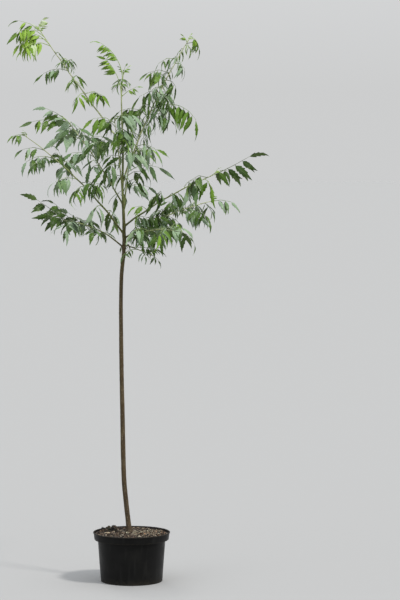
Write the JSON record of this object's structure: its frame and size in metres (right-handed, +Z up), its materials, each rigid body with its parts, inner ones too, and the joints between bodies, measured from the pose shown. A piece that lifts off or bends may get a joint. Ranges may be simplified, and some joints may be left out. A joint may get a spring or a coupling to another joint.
{
  "type": "young tree in a nursery pot",
  "caption": "Sapling with one slender trunk and a light crown of drooping compound leaves, growing in a round black nursery pot filled with compost; it stands on the pot's flat underside.",
  "frame": {"origin": "middle of the pot's flat underside, on the ground", "axes": "+Z up along the trunk, +X to the right and +Y away from the camera in the picture"},
  "size_m": [0.9476, 0.7562, 2.0468],
  "materials": {
    "pot": "satin black, injection moulded",
    "compost": "rough, crumbly, with bark chips",
    "bark": "matte, olive brown below and green above",
    "green_wood": "smooth young shoots, satin",
    "leaves": "satin leaf, paler and bluer where it catches the light"
  },
  "bodies": {
    "root": {"pot": "pot", "compost": "compost", "trunk": "bark", "bough_upper_left": "green_wood", "bough_mid_left": "green_wood", "bough_left": "green_wood", "bough_low_left": "green_wood", "bough_upper_right": "green_wood", "bough_right": "green_wood", "bough_low_right_front": "green_wood", "bough_low_right_back": "green_wood", "bough_lowest_right": "green_wood", "bough_front": "green_wood", "bough_back": "green_wood", "foliage_upper_left": "leaves", "foliage_mid_left": "leaves", "foliage_left": "leaves", "foliage_low_left": "leaves", "foliage_upper_right": "leaves", "foliage_right": "leaves", "foliage_low_right_front": "leaves", "foliage_low_right_back": "leaves", "foliage_lowest_right": "leaves", "foliage_front": "leaves", "foliage_back": "leaves", "foliage_leader": "leaves"}
  },
  "joints": []
}
